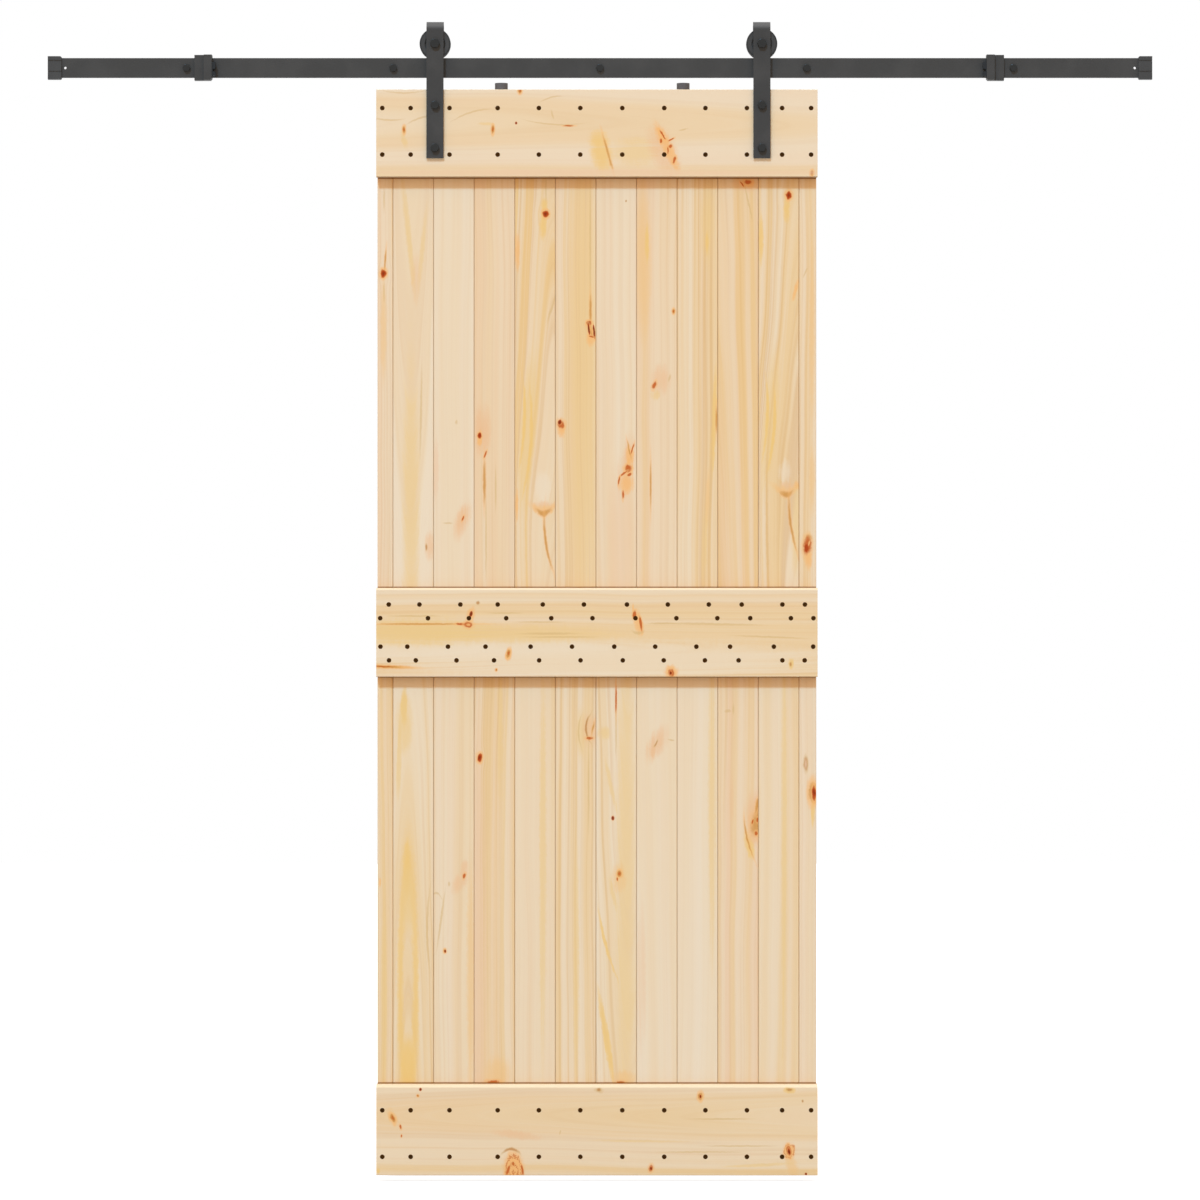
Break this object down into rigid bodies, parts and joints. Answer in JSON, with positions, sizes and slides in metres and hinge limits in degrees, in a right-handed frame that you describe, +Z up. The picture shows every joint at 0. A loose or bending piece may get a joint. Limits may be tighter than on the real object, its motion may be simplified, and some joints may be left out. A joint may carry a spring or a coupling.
{
  "type": "sliding barn door",
  "caption": "Planked pine barn door with cross boards, hung by grooved wheels on bent strap hangers from a flat steel wall track with stops and end caps.",
  "frame": {"origin": "middle wall bolt of the track, on the wall's face", "axes": "+X along the track to the right, +Y into the wall, +Z up"},
  "size_m": [2.137, 0.1109, 2.2315],
  "materials": {
    "track_steel": "matte dark grey powder coat",
    "strap_steel": "matte dark grey powder coat",
    "bolt_steel": "black oxide, satin",
    "cap_plastic": "moulded, matte",
    "bumper_rubber": "black rubber",
    "wheel_plastic": "turned dark plastic, satin",
    "bearing_steel": "ground bearing steel",
    "pine_planks": "raw planed pine with knots",
    "pine_boards": "raw planed pine with knots",
    "screw_black": "black phosphate",
    "disc_plastic": "moulded, matte grey"
  },
  "bodies": {
    "track": {"track_rail": "track_steel", "rail_spacers": "track_steel", "wall_bolts": "bolt_steel", "end_cap_left": "cap_plastic", "end_cap_right": "cap_plastic", "rail_stop_left": "track_steel", "rail_stop_right": "track_steel", "stop_bumper_left": "bumper_rubber", "stop_bumper_right": "bumper_rubber", "stop_screws": "bolt_steel"},
    "door": {"hanger_strap_left": "strap_steel", "hanger_strap_right": "strap_steel", "door_bolts": "bolt_steel", "door_washers": "bolt_steel", "door_nuts": "bolt_steel", "axle_bolts": "bolt_steel", "axle_nuts": "bolt_steel", "axle_sleeves": "bolt_steel", "bearing_inner_left": "bearing_steel", "bearing_inner_right": "bearing_steel", "plank_upper_01": "pine_planks", "plank_upper_02": "pine_planks", "plank_upper_03": "pine_planks", "plank_upper_04": "pine_planks", "plank_upper_05": "pine_planks", "plank_upper_06": "pine_planks", "plank_upper_07": "pine_planks", "plank_upper_08": "pine_planks", "plank_upper_09": "pine_planks", "plank_upper_10": "pine_planks", "plank_upper_11": "pine_planks", "plank_upper_12": "pine_planks", "plank_lower_01": "pine_planks", "plank_lower_02": "pine_planks", "plank_lower_03": "pine_planks", "plank_lower_04": "pine_planks", "plank_lower_05": "pine_planks", "plank_lower_06": "pine_planks", "plank_lower_07": "pine_planks", "plank_lower_08": "pine_planks", "plank_lower_09": "pine_planks", "plank_lower_10": "pine_planks", "plank_lower_11": "pine_planks", "plank_lower_12": "pine_planks", "board_top": "pine_boards", "board_middle": "pine_boards", "board_bottom": "pine_boards", "top_board_screws": "screw_black", "middle_board_screws": "screw_black", "bottom_board_screws": "screw_black", "disc_screws": "screw_black", "anti_jump_disc_left": "disc_plastic", "anti_jump_disc_right": "disc_plastic"},
    "left_wheel": {"wheel_left": "wheel_plastic", "bearing_outer_left": "bearing_steel", "bearing_balls_left": "bearing_steel"},
    "right_wheel": {"wheel_right": "wheel_plastic", "bearing_outer_right": "bearing_steel", "bearing_balls_right": "bearing_steel"}
  },
  "joints": [
    {"name": "door_slide", "type": "slide", "parent": "track", "child": "door", "axis": [1, 0, 0], "range_m": [-0.4075, 0.4105]},
    {"name": "left_wheel_roll", "type": "hinge", "parent": "door", "child": "left_wheel", "pos_m": [-0.319, -0.04, 0.0462], "axis": [0, 1, 0], "continuous": true},
    {"name": "right_wheel_roll", "type": "hinge", "parent": "door", "child": "right_wheel", "pos_m": [0.313, -0.04, 0.0462], "axis": [0, 1, 0], "continuous": true}
  ],
  "couplings": [
    {"joint": "left_wheel_roll", "follows": "door_slide", "rad_per_m": 37.037},
    {"joint": "right_wheel_roll", "follows": "door_slide", "rad_per_m": 37.037}
  ]
}
